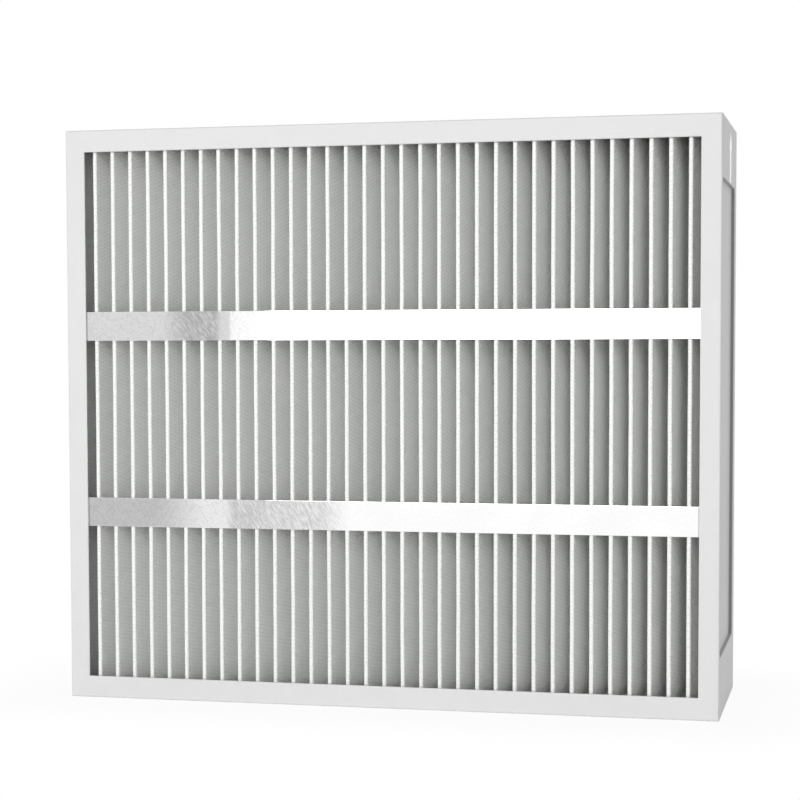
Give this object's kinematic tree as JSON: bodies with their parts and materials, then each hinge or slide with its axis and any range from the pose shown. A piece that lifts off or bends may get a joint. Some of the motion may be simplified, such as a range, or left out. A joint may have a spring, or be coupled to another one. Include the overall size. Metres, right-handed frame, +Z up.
{
  "type": "washable hvac filter",
  "caption": "Deep pleated washable air filter: a folded fabric pack in a coated sheet metal box frame, held front and rear by flat metal cross straps.",
  "frame": {"origin": "middle of the underside, halfway across the width and the depth", "axes": "+X across the face to the right as seen from the air entering side, -Y towards the air entering side, +Z up"},
  "size_m": [0.564, 0.178, 0.495],
  "materials": {
    "frame_coating": "light grey-white powder coat, matt",
    "strap_metal": "bright bare metal with handling scratches",
    "gusset_steel": "bare zinc coated steel",
    "filter_fabric": "fine woven washable fabric, stiffened and folded",
    "seal_compound": "poured grey sealing compound",
    "edge_foam": "closed cell foam"
  },
  "bodies": {
    "root": {"top_panel": "frame_coating", "bottom_panel": "frame_coating", "left_panel": "frame_coating", "right_panel": "frame_coating", "pleated_media": "filter_fabric", "upper_front_strap": "strap_metal", "lower_front_strap": "strap_metal", "upper_rear_strap": "strap_metal", "lower_rear_strap": "strap_metal", "top_seal_bed": "seal_compound", "bottom_seal_bed": "seal_compound", "left_edge_strip": "edge_foam", "right_edge_strip": "edge_foam", "top_left_gusset": "gusset_steel", "top_right_gusset": "gusset_steel", "bottom_left_gusset": "gusset_steel", "bottom_right_gusset": "gusset_steel"}
  },
  "joints": []
}
